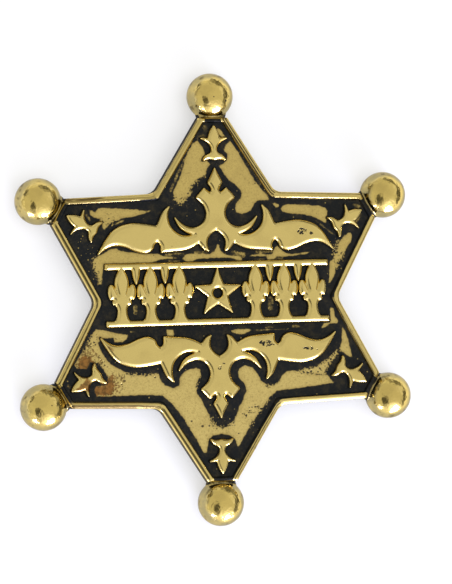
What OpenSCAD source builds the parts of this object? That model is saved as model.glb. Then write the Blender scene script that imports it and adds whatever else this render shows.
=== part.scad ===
// Sheriff star badge: a six-pointed star with a ball on each point, cast in one piece,
// and a bar pin behind it. It lies face up on its six balls. The middle of the star is
// over the origin, and the top point is towards +Y.

/* [Star] */
// Distance from the middle of the star to the middle of each ball
ball_reach = 34.2; // [33.6:0.1:36]
// Diameter of each ball
ball_d = 7.8; // [7.4:0.1:9]
// Distance from the middle of the star to the inner corners of its outline
waist_reach = 20.7; // [20.2:0.1:22.4]
// Distance from the middle of the star to the end of each point, at its ball
point_reach = 30.5; // [30.2:0.1:31]
// Width of each point at its end
point_end_w = 5; // [4.6:0.1:5.6]
// Radius of the inner corners of the outline
waist_r = 2.2; // [1.6:0.1:2.8]
// Diameter of the collar between a point and its ball
collar_d = 4.8; // [4.2:0.1:5]

/* [Plate and rim] */
// Thickness of the plate behind the sunk field
field_t = 1.9; // [1.4:0.1:2.4]
// Width of the raised rim along each edge
rim_w = 1.25; // [1:0.05:1.6]
// Width of the rim across the end of each point
rim_end_w = 0.9; // [0.6:0.1:1.2]
// Height of the rim above the field
rim_rise = 0.6; // [0.3:0.1:0.9]

/* [Scrolls] */
// Height of all the raised work above the field
relief_rise = 1.1; // [0.6:0.1:1.4]
// Distance of the middle of the raised work above the middle of the star
relief_y = 1.1; // [0.6:0.1:1.4]
// Width of each scroll from wing tip to wing tip
scroll_w = 40.4; // [38:0.2:41]
// Height of each scroll from its wing tips to its spike
scroll_h = 14.1; // [12.6:0.1:14.4]
// Distance from the middle of the raised work to the wing tips
scroll_gap = 6.85; // [6.5:0.05:7.2]

/* [Point fleurs] */
// Distance from the middle of the star to the tip of each fleur
fleur_reach = 29.2; // [28.8:0.1:29.5]
// Length of each fleur
fleur_l = 5.9; // [5.4:0.1:6.8]
// Width of each fleur across its leaves
fleur_w = 4.9; // [3.6:0.1:5]

/* [Frieze] */
// Height of the frieze between the scrolls
frieze_h = 10.4; // [9.8:0.1:11]
// Length of each rail past the last lily
rail_over = 0.4; // [0:0.1:0.6]
// Height of each rail
rail_h = 0.9; // [0.6:0.1:1.1]
// Width of each lily
lily_w = 4.6; // [3.8:0.1:4.7]
// Width of each dart that hangs between two lilies
dart_w = 2.2; // [1.4:0.1:2.4]
// Height of each dart
dart_h = 3; // [2:0.1:4]
// Distance from lily to lily
lily_pitch = 4.9; // [4.8:0.05:5]
// Number of lilies on each side of the middle star
lily_count = 3; // [1:1:3]
// Diameter of the middle star through its five tips
mullet_d = 8.4; // [7.6:0.1:8.8]
// Diameter of the dimple in the middle star
dimple_d = 1.8; // [1:0.1:2.4]

/* [Bar pin] */
// Length of the pin's strip
strip_l = 32; // [24:1:34]
// Width of the pin's strip
strip_w = 4.6; // [3:0.1:6]
// Thickness of the strip
strip_t = 0.6; // [0.4:0.1:0.8]
// Diameter of the pin wire
wire_d = 1; // [0.7:0.1:1.2]
// Clear height between the strip and the wire, for cloth
cloth_gap = 1.1; // [0.8:0.1:1.3]
// Diameter of the knuckle that holds the wire at its left end
knuckle_d = 2.2; // [1.6:0.1:2.4]
// Width of the knuckle and of the catch, across the strip
knuckle_w = 3; // [2:0.1:4]
// Length of the catch that holds the wire at its right end
catch_l = 2.4; // [1.6:0.1:4]
// Thickness of the solder film between the strip and the plate
solder_t = 0.1; // [0.05:0.05:0.2]
// Distance of the pin above the middle of the star
pin_y = 5; // [0:0.5:8]

/* [Hidden] */

points = 6;
half_step = 180 / points;
mullet_points = 5;
curve_steps = 3;
corner_steps = 4;
// Share of its radius that an inner corner loses from the outline to the inner edge of the rim
waist_tighter = 0.6;
// Radius of the middle star's inner corners, as a share of its outer radius
mullet_waist = 0.42;
// Depth that the raised work runs down into the plate
overlap = 0.4;
// Height of the flat underside of each collar above the plate's back
collar_lift = 0.2;
ball_r = ball_d / 2;
back_z = ball_r;
field_z = back_z + field_t;
relief_top = field_z + relief_rise;
// Angle of each outline edge to the middle line of its point
point_slope = atan(
    (waist_reach * sin(half_step) - point_end_w / 2) / (point_reach - waist_reach * cos(half_step)));

// Names of the columns in the tables below
ACROSS = 0;
ALONG = 1;
SHARP = 2;
INSET = 0;
RISE = 1;

// Section through the rim, all the way round: inset as a share of its width,
// then height as a share of its rise
rim_section = [
    [0.03, -0.6], [0.03, 0.15], [0.09, 0.5], [0.2, 0.84], [0.42, 1],
    [0.64, 0.9], [0.82, 0.56], [1, -0.1], [1, -0.6]];

// Right half of a scroll, in shares of half its width and of its height.
// The third column is 1 at a sharp corner.
scroll_foot = [
    [0, 0.265, 1], [0.045, 0.22, 0], [0.075, 0.155, 0], [0.078, 0.09, 0], [0.066, 0.012, 1],
    [0.105, 0.035, 0], [0.152, 0.112, 1], [0.2, 0.072, 0], [0.275, 0.035, 0], [0.4, 0.02, 0],
    [0.472, 0.01, 1], [0.47, 0.09, 0], [0.497, 0.14, 0], [0.526, 0.105, 0], [0.542, 0.05, 0],
    [0.6, 0.01, 0], [0.68, 0.035, 0], [0.77, 0.09, 0], [0.86, 0.108, 0], [0.935, 0.07, 0]];
scroll_wing = [
    [1, 0, 1], [0.945, 0.14, 0], [0.885, 0.255, 0], [0.81, 0.325, 0], [0.71, 0.36, 0],
    [0.605, 0.35, 0], [0.5, 0.325, 1], [0.476, 0.4, 0], [0.445, 0.49, 0]];
scroll_hook = [
    [0.388, 0.56, 1], [0.404, 0.47, 0], [0.4, 0.37, 0], [0.37, 0.285, 0], [0.315, 0.222, 0],
    [0.255, 0.2, 0], [0.192, 0.212, 1], [0.255, 0.248, 0], [0.312, 0.312, 0], [0.352, 0.43, 1],
    [0.307, 0.365, 0], [0.252, 0.315, 0], [0.19, 0.295, 0]];
scroll_neck = [
    [0.128, 0.325, 0], [0.09, 0.395, 0], [0.08, 0.48, 0], [0.106, 0.575, 0], [0.164, 0.65, 1],
    [0.134, 0.7, 0], [0.093, 0.765, 1], [0.07, 0.735, 0], [0.044, 0.71, 0], [0.03, 0.74, 0],
    [0.04, 0.78, 0], [0.062, 0.825, 1], [0.03, 0.91, 0], [0, 1, 1]];

// Right half of a fleur, from its crown to its tip, in shares of half its width and of its length
fleur_side = [
    [0, 0.015, 1], [0.2, 0.035, 0], [0.45, 0.045, 0], [0.8, 0, 1], [0.7, 0.09, 0],
    [0.5, 0.165, 0], [0.27, 0.215, 0], [0.18, 0.29, 0], [0.2, 0.38, 0], [0.34, 0.48, 0],
    [0.62, 0.575, 0], [1, 0.64, 1], [0.66, 0.645, 0], [0.38, 0.625, 1], [0.35, 0.72, 0],
    [0.22, 0.86, 0], [0, 1, 1]];

// Right half of a lily, from its foot to its tip, in shares of half its width and of its height
lily_foot = [
    [0, 0, 1], [0.86, 0, 1], [0.52, 0.06, 0], [0.36, 0.16, 0], [0.34, 0.26, 0],
    [0.44, 0.325, 1], [0.66, 0.345, 0], [0.7, 0.385, 0], [0.6, 0.42, 1]];
lily_leaf = [
    [0.66, 0.44, 0], [0.86, 0.425, 1], [0.98, 0.5, 0], [1, 0.59, 0], [0.9, 0.67, 0],
    [0.72, 0.69, 0], [0.52, 0.62, 0], [0.34, 0.52, 1], [0.46, 0.63, 0], [0.5, 0.74, 0],
    [0.34, 0.87, 0], [0, 1, 1]];

// Right half of a dart, from its tip up to the rail, in shares of half its width and of its height
dart_side = [
    [0, 0, 1], [0.3, 0.22, 0], [0.5, 0.5, 0], [0.62, 0.82, 0], [1, 1, 1], [0, 1, 1]];

// One point on the curve between rows i and i + 1 of a table, at share t
function bend(table, i, t) =
    let (
        a = table[i],
        b = table[i + 1],
        before = a[SHARP] == 1 ? a : table[i - 1],
        after = b[SHARP] == 1 ? b : table[i + 2])
    [for (c = [ACROSS, ALONG])
        a[c] + t * (b[c] - before[c]) / 2
        + t * t * (before[c] - 2.5 * a[c] + 2 * b[c] - after[c] / 2)
        + t * t * t * (1.5 * (a[c] - b[c]) + (after[c] - before[c]) / 2)];

// All points along a table: one step where both ends are sharp, else curve_steps
function trace(table) =
    [for (i = [0 : len(table) - 2])
        let (n = table[i][SHARP] + table[i + 1][SHARP] == 2 ? 1 : curve_steps)
        for (s = [0 : n - 1]) bend(table, i, s / n)];

// A closed outline from a right half that starts and ends on the middle line
function both_sides(table, half_w, h) =
    let (
        right = trace(table),
        tip = table[len(table) - 1])
    concat(
        [for (p = right) [p[ACROSS] * half_w, p[ALONG] * h]],
        [[0, tip[ALONG] * h]],
        [for (i = [len(right) - 1 : -1 : 1]) [-right[i][ACROSS] * half_w, right[i][ALONG] * h]]);

// The star's outline, moved inward: an arc at each inner corner, then the two corners of a point's end
function turned(p, a) = [p[0] * cos(a) - p[1] * sin(a), p[0] * sin(a) + p[1] * cos(a)];
function star_outline(share) =
    let (
        lean = point_slope + half_step,
        corner = waist_reach - share * rim_w / sin(lean),
        r = waist_r * (1 - waist_tighter * share),
        end = point_reach - share * rim_end_w,
        half = corner * sin(half_step) - (end - corner * cos(half_step)) * tan(point_slope),
        middle = corner + r / sin(lean),
        sweep = 180 - 2 * lean)
    [for (k = [0 : points - 1]) each concat(
        [for (s = [0 : corner_steps])
            let (a = 180 + sweep / 2 - s * sweep / corner_steps)
            turned([middle + r * cos(a), r * sin(a)], 2 * half_step * k)],
        [for (side = [-1, 1]) turned([end, side * half], 2 * half_step * k + half_step)])];

// The flat plate, up to the field
module plate() {
    translate([0, 0, back_z]) linear_extrude(field_t) polygon(star_outline(0));
}

// The rounded rim: its section carried round the outline as one closed ring
module rim() {
    rings = [for (row = rim_section) star_outline(row[INSET])];
    n = len(rings[0]);
    m = len(rings);
    corners = [for (j = [0 : m - 1]) for (p = rings[j])
        [p[0], p[1], field_z + rim_section[j][RISE] * rim_rise]];
    walls = [for (j = [0 : m - 1]) for (i = [0 : n - 1])
        let (
            k = (i + 1) % n,
            up = (j + 1) % m)
        [j * n + i, up * n + i, up * n + k, j * n + k]];
    polyhedron(corners, walls, convexity = 8);
}

// A ball and the half-round collar that joins it to its point
module ball() {
    translate([ball_reach, 0, ball_r]) sphere(d = ball_d, $fn = 64);
    collar_start = point_reach - rim_end_w / 2;
    intersection() {
        translate([collar_start, 0, back_z]) rotate([0, 90, 0])
            cylinder(d = collar_d, h = ball_reach - collar_start, $fn = 48);
        translate([collar_start, -collar_d, back_z + collar_lift])
            cube([ball_reach, 2 * collar_d, collar_d]);
    }
}

// Raised work: a flat outline that stands on the field
module raised() {
    translate([0, 0, field_z - overlap]) linear_extrude(relief_rise + overlap) children();
}

module scroll() {
    polygon(both_sides(concat(scroll_foot, scroll_wing, scroll_hook, scroll_neck), scroll_w / 2, scroll_h));
}

module fleur() {
    polygon(both_sides(fleur_side, fleur_w / 2, fleur_l));
}

module lily() {
    polygon(both_sides(concat(lily_foot, lily_leaf), lily_w / 2, frieze_h - rail_h));
}

module dart() {
    polygon(both_sides(dart_side, dart_w / 2, dart_h));
}

// The five-pointed star in the middle of the frieze, with a round dimple
module mullet() {
    difference() {
        polygon([for (k = [0 : 2 * mullet_points - 1])
            let (r = mullet_d / 2 * (k % 2 == 0 ? 1 : mullet_waist))
            turned([0, r], 180 * k / mullet_points)]);
        circle(d = dimple_d, $fn = 32);
    }
}

// Two rails with lilies and darts between them and the middle star
module frieze() {
    first = mullet_d / 2 + lily_w / 2;
    half_l = first + (lily_count - 1) * lily_pitch + lily_w / 2 + rail_over;
    for (side = [-1, 1]) {
        translate([-half_l, side * (frieze_h - rail_h) / 2 - rail_h / 2]) square([2 * half_l, rail_h]);
        for (k = [0 : lily_count - 1])
            translate([side * (first + k * lily_pitch), -(frieze_h - rail_h) / 2]) lily();
        for (k = [1 : 1 : lily_count - 1])
            translate([side * (first + (k - 0.5) * lily_pitch), (frieze_h - rail_h) / 2 - dart_h]) dart();
    }
    mullet();
}

module star() {
    color("goldenrod") union() {
        plate();
        rim();
        for (k = [0 : points - 1]) rotate([0, 0, (2 * k + 1) * half_step]) ball();
        for (side = [0, 1])
            raised() translate([0, relief_y]) mirror([0, side]) translate([0, scroll_gap]) scroll();
        for (k = [0 : points - 1])
            raised() rotate(2 * half_step * k) translate([0, fleur_reach - fleur_l]) fleur();
        raised() translate([0, relief_y]) frieze();
    }
}

// The bar pin: a strip with round ends behind the plate, a knuckle, a catch, and the wire between them
module bar_pin() {
    strip_low = back_z - solder_t - strip_t;
    wire_z = strip_low - cloth_gap - wire_d / 2;
    knuckle_x = -(strip_l - strip_w) / 2;
    catch_x = (strip_l - strip_w) / 2;
    color("silver") translate([0, pin_y, 0]) union() {
        translate([0, 0, strip_low]) linear_extrude(strip_t) {
            square([strip_l - strip_w, strip_w], center = true);
            for (x = [knuckle_x, catch_x]) translate([x, 0]) circle(d = strip_w, $fn = 48);
        }
        translate([knuckle_x, knuckle_w / 2, wire_z]) rotate([90, 0, 0])
            cylinder(d = knuckle_d, h = knuckle_w, $fn = 32);
        translate([knuckle_x - knuckle_d / 2, -knuckle_w / 2, wire_z])
            cube([knuckle_d, knuckle_w, strip_low + strip_t / 2 - wire_z]);
        translate([catch_x - catch_l / 2, -knuckle_w / 2, wire_z - knuckle_d / 2])
            cube([catch_l, knuckle_w, strip_low + strip_t / 2 - wire_z + knuckle_d / 2]);
        translate([knuckle_x, 0, wire_z]) rotate([0, 90, 0])
            cylinder(d = wire_d, h = catch_x - knuckle_x, $fn = 24);
    }
}

star();
bar_pin();
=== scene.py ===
# %% [markdown]
# # A star badge with a ball on each point
#
# The badge is one casting in yellow metal: a flat star with a rounded rim, two leafy scrolls and a frieze
# raised in the middle, a small fleur in each point, and a ball on the end of each point. A black wash was
# brushed over it and rubbed off again, so the high places shine and the low places stay dark.
#
# The CAD model says where everything is. Blender's work here is what a drawing can't hold: soft cast edges,
# the wash that lies in the corners, pits, stains, and the light that shows them.

import math

import bmesh
import bpy
import numpy as np
from mathutils import Matrix, Vector, kdtree


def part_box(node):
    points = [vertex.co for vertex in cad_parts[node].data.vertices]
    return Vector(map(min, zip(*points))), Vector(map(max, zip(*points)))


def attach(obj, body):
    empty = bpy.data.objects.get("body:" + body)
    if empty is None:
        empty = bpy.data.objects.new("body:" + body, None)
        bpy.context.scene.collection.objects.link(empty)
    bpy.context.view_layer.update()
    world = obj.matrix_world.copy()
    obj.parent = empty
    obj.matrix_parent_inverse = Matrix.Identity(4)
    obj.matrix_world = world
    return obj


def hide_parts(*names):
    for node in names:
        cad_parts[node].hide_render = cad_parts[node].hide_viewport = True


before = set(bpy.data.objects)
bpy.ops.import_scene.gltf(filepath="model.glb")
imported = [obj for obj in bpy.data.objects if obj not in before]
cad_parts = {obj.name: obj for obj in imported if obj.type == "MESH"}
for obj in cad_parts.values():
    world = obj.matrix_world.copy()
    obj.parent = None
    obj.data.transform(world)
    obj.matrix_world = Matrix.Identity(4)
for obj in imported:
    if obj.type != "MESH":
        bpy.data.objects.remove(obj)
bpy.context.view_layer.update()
print("CAD nodes:", sorted(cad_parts))

# %% [markdown]
# ## Sizes
#
# All sizes below are in millimetres, because a badge is drawn in millimetres, and `MM` turns them into
# Blender's metres at the last moment. They are the sizes of the CAD model, written out once, so each piece
# lies where the solid has it.

# %% Sizes in millimetres
MM = 0.001
POINTS = 6
HALF_STEP = math.radians(180 / POINTS)
BALL_REACH, BALL_R = 34.2, 3.9
WAIST_REACH, WAIST_R, POINT_REACH, POINT_END_W = 20.7, 2.2, 30.5, 5.0
COLLAR_R, COLLAR_FLARE, COLLAR_START, COLLAR_L, COLLAR_LOW = 2.45, 0.45, 29.9, 2.1, 4.1
COLLAR_FLAT = 0.72
RIM_W, RIM_END_W, RIM_RISE = 1.25, 0.9, 0.6
BACK_Z, FIELD_Z, TOP_Z = 3.9, 5.8, 6.9
RELIEF_Y = 1.1
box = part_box("star")
print("star from", [round(c / MM, 2) for c in box[0]], "to", [round(c / MM, 2) for c in box[1]])

# %% [markdown]
# ## From a bmesh to a piece
#
# Every piece is shaped in a bmesh, in millimetres. The finished object could be scaled down, but then its
# Object coordinates would be scaled too, and with them each pattern. So one helper scales the mesh itself,
# gives the piece a name and a material, lets it ride on the badge's only body, and hides the CAD star,
# which it stands for. Smooth shading rounds the small facets, and edges sharper than a limit stay crisp.

# %% Turn a bmesh into a piece
made_triangles = {}


def place(bm, name, material, crisp=math.radians(40)):
    """Makes a piece of the badge from a bmesh in millimetres."""
    for face in bm.faces:
        face.smooth = True
    for edge in bm.edges:
        edge.smooth = edge.calc_face_angle(0) < crisp
    bmesh.ops.scale(bm, vec=(MM, MM, MM), verts=bm.verts)
    mesh = bpy.data.meshes.new(name)
    bm.to_mesh(mesh)
    bm.free()
    mesh.materials.append(material)
    piece = bpy.data.objects.new(name, mesh)
    bpy.context.scene.collection.objects.link(piece)
    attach(piece, "root")
    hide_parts("star")
    made_triangles[name] = sum(len(p.vertices) - 2 for p in mesh.polygons)
    print(f"{name}: {made_triangles[name]} triangles")


# %% [markdown]
# ## Shader maths as sums
#
# A mask such as "dark where it is low, but not where the noise is high" is easiest to read as a sum.
# `Value` wraps a socket, so `+`, `-`, `*` and `/` add Math nodes. `Paint.node` makes any other node: its
# type, its settings, then the values or links of its sockets.

# %% A socket that does sums
class Value:
    """A socket in a node tree, with the operators of a number."""

    def __init__(self, paint, socket):
        self.paint = paint
        self.socket = socket

    def math(self, operation, *values):
        return self.paint.node("ShaderNodeMath", {"operation": operation}, values)

    def __add__(self, other):
        return self.math("ADD", self, other)

    def __radd__(self, other):
        return self.math("ADD", other, self)

    def __sub__(self, other):
        return self.math("SUBTRACT", self, other)

    def __rsub__(self, other):
        return self.math("SUBTRACT", other, self)

    def __mul__(self, other):
        return self.math("MULTIPLY", self, other)

    def __rmul__(self, other):
        return self.math("MULTIPLY", other, self)

    def __truediv__(self, other):
        return self.math("DIVIDE", self, other)

    def __rtruediv__(self, other):
        return self.math("DIVIDE", other, self)

    def larger(self, other):
        return self.math("MAXIMUM", self, other)

    def smaller(self, other):
        return self.math("MINIMUM", self, other)

    def exponent(self):
        return self.math("EXPONENT", self)

    def unsigned(self):
        return self.math("ABSOLUTE", self)

    def step(self, low, high):
        """0 below low and 1 above high, with a smooth slope between them."""
        return self.paint.node(
            "ShaderNodeMapRange", {"interpolation_type": "SMOOTHSTEP"}, [self, low, high, 0.0, 1.0])


# %% A node tree that is written line by line
class Paint:
    """A material's or a world's node tree."""

    def __init__(self, owner):
        owner.use_nodes = True
        self.tree = owner.node_tree
        self.tree.nodes.clear()

    def node(self, kind, settings=None, sockets=None, out=0):
        made = self.tree.nodes.new(kind)
        for key, value in (settings or {}).items():
            setattr(made, key, value)
        pairs = sockets.items() if isinstance(sockets, dict) else enumerate(sockets or [])
        for key, value in pairs:
            if isinstance(value, Value):
                self.tree.links.new(value.socket, made.inputs[key])
            else:
                made.inputs[key].default_value = value
        return Value(self, made.outputs[out]) if made.outputs else made

    def place_mm(self):
        """Object coordinates in millimetres."""
        metres = self.node("ShaderNodeTexCoord", out=3)
        return self.node("ShaderNodeVectorMath", {"operation": "SCALE"}, {0: metres, 3: 1 / MM})

    def part(self, vector, axis):
        return self.node("ShaderNodeSeparateXYZ", None, [vector], out="XYZ".index(axis))

    def attribute(self, name):
        return self.node("ShaderNodeAttribute", {"attribute_name": name}, out=2)

    def noise(self, where, size, detail=3.0, rough=0.55):
        """Soft noise from 0 to 1, with lumps of a size in millimetres."""
        return self.node("ShaderNodeTexNoise", None, {
            "Vector": where, "Scale": 1 / size, "Detail": detail, "Roughness": rough})

    def spots(self, where, spacing, share, radius):
        """Round spots, one in a cell of a width in millimetres, in that share of the cells: 1 in a spot."""
        near = self.node("ShaderNodeTexVoronoi", None, {"Vector": where, "Scale": 1 / spacing})
        colour = Value(self, near.socket.node.outputs[1])
        chance = self.part(colour, "X")
        size = self.part(colour, "Y") * radius / spacing + 0.35 * radius / spacing
        return (1 - (near / size).step(0.7, 1.0)) * chance.step(1 - share - 0.01, 1 - share)

    def mix(self, share, first, second):
        """A colour: the first where share is 0 and the second where it is 1."""
        return self.node("ShaderNodeMix", {"data_type": "RGBA"}, {0: share, 6: first, 7: second}, out=2)

    def bump(self, height_mm):
        return self.node("ShaderNodeBump", None, {"Strength": 1.0, "Distance": MM, "Height": height_mm})

    def surface(self, sockets):
        """Ends the material in a Principled surface."""
        shader = self.node("ShaderNodeBsdfPrincipled", None, sockets)
        self.node("ShaderNodeOutputMaterial", None, {"Surface": shader})


# %% [markdown]
# ## Gold-coloured metal and black wash
#
# The metal is polished brass or gold plate, so it is fully metallic and its colour is the colour of its
# mirror image. The wash is a thin black lacquer: not metallic, a little glossy. They could be two materials
# on separate faces, but the wash fades out over a fraction of a millimetre. So each material blends the two
# with a mask from 0, bare, to 1, black, and the roughness and the metallic value follow the same mask.

# %% Colours of the metal and the wash
GOLD = (0.91, 0.705, 0.235, 1)
GOLD_DEEP = (0.88, 0.66, 0.19, 1)
FIELD_GOLD = (0.8, 0.6, 0.185, 1)
FIELD_PALE = (0.93, 0.72, 0.25, 1)
GOLD_RING_SHADE = (0.4, 0.335, 0.155, 1)
GOLD_DULL = (0.55, 0.4, 0.125, 1)
FILM = (0.09, 0.068, 0.03, 1)
COPPER = (0.4, 0.17, 0.042, 1)
COPPER_DARK = (0.15, 0.06, 0.018, 1)
STREAK_BROWN = (0.15, 0.09, 0.03, 1)
WASH = (0.0065, 0.0078, 0.0085, 1)
WASH_BROWN = (0.034, 0.027, 0.013, 1)
EDGE_TINT = (0.75, 0.73, 0.68, 1)
print("bare gold:", GOLD[:3], "full wash:", WASH[:3])

# %% How metal and wash blend
def washed(paint, where, wash, dull, gloss, height, stain=None, gold=GOLD, stained=None, dry=0.0):
    """Ends a material: gold where wash is 0 and black where it is 1.

    dull from 0 to 1 browns the gold, and gloss is the roughness of bare gold. height is the relief in
    millimetres. stain from 0 to 1 turns bare gold to copper, or to the colour stained, and dry roughens the
    wash.
    """
    haze = paint.noise(where, 3.0, 2.0)
    fine = paint.noise(where, 0.35, 3.0, 0.6)
    thin, thick = wash.step(0.0, 0.6), wash.step(0.35, 0.95)
    bare = paint.mix((dull + (fine - 0.5) * 0.25).larger(0), gold, GOLD_DULL)
    if stain is not None:
        bare = paint.mix(stain, bare, stained or paint.mix(
            paint.noise(where, 0.7, 4.0, 0.65).step(0.4, 0.62), COPPER, COPPER_DARK))
    bare = paint.mix(thin * 0.9, bare, FILM)
    thinned = paint.noise(where, 1.3, 4.0, 0.65).step(0.46, 0.72) * 0.6 + fine.step(0.5, 0.75) * 0.4
    black = paint.mix(thinned, WASH, WASH_BROWN)
    rough_bare = gloss + haze * 0.05 + fine * 0.05 + dull * 0.14 + thin * 0.12
    rough = rough_bare * (1 - thick) + (0.22 + fine * 0.25 + dry) * thick
    paint.surface({
        "Base Color": paint.mix(thick, bare, black),
        "Metallic": 1 - thick * 0.97,
        "Roughness": rough,
        "Specular IOR Level": 0.2,
        "Specular Tint": EDGE_TINT,
        "Normal": paint.bump(height + fine * 0.004),
    })


# %% [markdown]
# ## The rim and the back
#
# The rim is a low dome that runs round the star along its edge, and the plate under it ends in a flat back.
# On the real badge they are one casting. The star's outline is worked out corner by corner, and then its
# row of edges is extruded from ring to ring: up the side, over the dome and down to the field. The inner
# corners are nearly sharp at the dome's foot and rounder outside, which is why the outline is worked out
# anew for each ring and isn't just inset.

# %% The star's outline, moved inward
LEAN = math.atan2(WAIST_REACH * math.sin(HALF_STEP) - POINT_END_W / 2,
                  POINT_REACH - WAIST_REACH * math.cos(HALF_STEP)) + HALF_STEP
WAIST_TIGHTER = 0.6  # share of its radius that an inner corner loses from the outline to the rim's inner edge
CORNER_STEPS = 10
RUN_STEPS = (0.25, 0.5, 0.75, 0.86, 0.92, 0.96)
END_STEPS = (0.12, 0.24, 0.36, 0.5, 0.64, 0.76, 0.88)


def star_ring(share):
    """Corners of the outline, moved inward by a share of the rim's width."""
    slope = LEAN - HALF_STEP
    corner = WAIST_REACH - share * RIM_W / math.sin(LEAN)
    radius = WAIST_R * (1 - WAIST_TIGHTER * share)
    end = POINT_REACH - share * RIM_END_W
    half = corner * math.sin(HALF_STEP) - (end - corner * math.cos(HALF_STEP)) * math.tan(slope)
    middle = Vector((corner + radius / math.sin(LEAN), 0))
    sweep = math.pi - 2 * LEAN
    turns = [math.pi + sweep / 2 - s * sweep / CORNER_STEPS for s in range(CORNER_STEPS + 1)]
    arc = [middle + radius * Vector((math.cos(a), math.sin(a))) for a in turns]
    tips = [Matrix.Rotation(HALF_STEP, 2) @ Vector((end, side * half)) for side in (-1, 1)]
    next_arc = Matrix.Rotation(2 * HALF_STEP, 2) @ arc[0]
    one = arc + [arc[-1].lerp(tips[0], t) for t in RUN_STEPS]
    one += [tips[0]] + [tips[0].lerp(tips[1], t) for t in END_STEPS] + [tips[1]]
    one += [next_arc.lerp(tips[1], t) for t in reversed(RUN_STEPS)]
    return [Matrix.Rotation(2 * HALF_STEP * k, 2) @ p for k in range(POINTS) for p in one]


print("corners in a ring:", len(star_ring(0)))

# %% Carry the outline up the side and over the dome
RIM_SECTION = [
    # share of the rim's width, height
    (0.03, BACK_Z), (-0.04, BACK_Z + 0.05), (-0.07, BACK_Z + 0.18), (-0.035, BACK_Z + 1.0), (0.0, FIELD_Z),
    (0.004, FIELD_Z + 0.11), (0.017, FIELD_Z + 0.18), (0.045, FIELD_Z + 0.25), (0.09, FIELD_Z + 0.315),
    (0.15, FIELD_Z + 0.375), (0.22, FIELD_Z + 0.432), (0.295, FIELD_Z + 0.483), (0.37, FIELD_Z + 0.527),
    (0.445, FIELD_Z + 0.563), (0.52, FIELD_Z + 0.59), (0.585, FIELD_Z + RIM_RISE), (0.645, FIELD_Z + 0.592),
    (0.7, FIELD_Z + 0.565), (0.75, FIELD_Z + 0.52), (0.795, FIELD_Z + 0.457), (0.835, FIELD_Z + 0.383),
    (0.875, FIELD_Z + 0.294), (0.915, FIELD_Z + 0.194), (0.955, FIELD_Z + 0.084), (1.0, FIELD_Z - 0.06),
    (1.03, FIELD_Z - 0.32)]


def carry(bm, edges, ring, height):
    """Extrudes a closed row of edges to the next ring and returns the new row."""
    old = {vert.co.to_tuple(4): vert.index for edge in edges for vert in edge.verts}
    new = bmesh.ops.extrude_edge_only(bm, edges=edges)["geom"]
    for vert in [g for g in new if isinstance(g, bmesh.types.BMVert)]:
        spot = ring[old[vert.co.to_tuple(4)]]
        vert.index = old[vert.co.to_tuple(4)]
        vert.co = (spot.x, spot.y, height)
    return [g for g in new if isinstance(g, bmesh.types.BMEdge)]


def plate_shape():
    bm = bmesh.new()
    share, height = RIM_SECTION[0]
    corners = [bm.verts.new((p.x, p.y, height)) for p in star_ring(share)]
    back = bm.faces.new(corners)
    bm.verts.index_update()
    row = list(back.edges)
    for share, height in RIM_SECTION[1:]:
        row = carry(bm, row, star_ring(share), height)
    bmesh.ops.contextual_create(bm, geom=row)
    bmesh.ops.recalc_face_normals(bm, faces=bm.faces)
    return bm


plate = plate_shape()
print("rim and back:", len(plate.faces), "faces")

# %% [markdown]
# ## Where the wash lies on the rim
#
# The polishing wheel rubs the dome bright, and wash stays on its inner slope. Each of the twelve stretches
# was held to the wheel on its own, so each has its own bare width, its own tarnish, and on some of them fine
# lines: a dark one is a shallow groove with wash in it and also a painted reflection of dark things in the
# room, and a bare one in the wash is a painted highlight. The ends of the points lie behind the balls, and
# those behind a dirty neck kept their wash too. All of this could be painted by hand on the mesh, but numbers
# are easier to change one by one. The first chart below has one row for each stretch, the second one number
# for each neck, and the mesh stores the values for the material.

# %% Chart of the rim's twelve stretches
POINT_LINES = [Vector((math.cos(a), math.sin(a))) for a in [(2 * k + 1) * HALF_STEP for k in range(POINTS)]]
STRETCHES = [
    # bare width, tarnish at the waist and at the point, then how far in a first and a second line lie and how
    # dark each is: 1 is full of wash, and less than 0 is a line that was rubbed bare. A dark line is a
    # shallow groove with wash in it and also a painted reflection of dark things in the room, and a bare line
    # in the wash is a painted highlight
    (0.90, 0.15, 0.10, 0.45, 0.1, 1.00, 0.0), (1.00, 0.00, 0.45, 0.28, 0.2, 1.12, -0.8),
    (1.32, 0.15, 0.35, 0.50, 1.0, 0.90, 1.0), (1.18, 0.30, 0.20, 0.05, 0.5, 0.45, 0.15),
    (0.98, 0.05, 1.00, 0.58, 0.4, 0.86, 0.4), (1.10, 0.00, 0.15, 0.50, 0.4, 1.00, 0.0),
    (1.10, 0.15, 0.15, 0.52, 0.8, 1.24, 0.7), (1.00, 0.80, 1.25, 0.54, 0.7, 1.15, -0.4),
    (1.08, 0.00, 0.00, 0.42, 0.3, 1.00, 0.0), (0.88, 0.10, 0.35, 0.64, 0.8, 0.05, 0.3),
    (1.02, 0.00, 0.20, 0.75, 0.15, 1.00, 0.0), (0.95, 0.05, 0.20, 0.60, 0.1, 1.12, -0.9)]
# How much wash lies on the neck of each point, from the upper right one on, against the clock.
NECK_WASH = (1.0, 0.4, 0.25, 0.25, 0.75, 1.0)
print("stretches:", len(STRETCHES), "necks:", len(NECK_WASH))

# %% Store the rim's wear and its painted lines on the mesh
def along(ring, spacing):
    """Points at a spacing along a closed ring."""
    return [p.lerp(q, s / n) for p, q in zip(ring, ring[1:] + ring[:1])
            for n in [max(1, int((q - p).length / spacing))] for s in range(n)]


def reach_of(spot):
    return max(spot.dot(line) for line in POINT_LINES)


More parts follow.
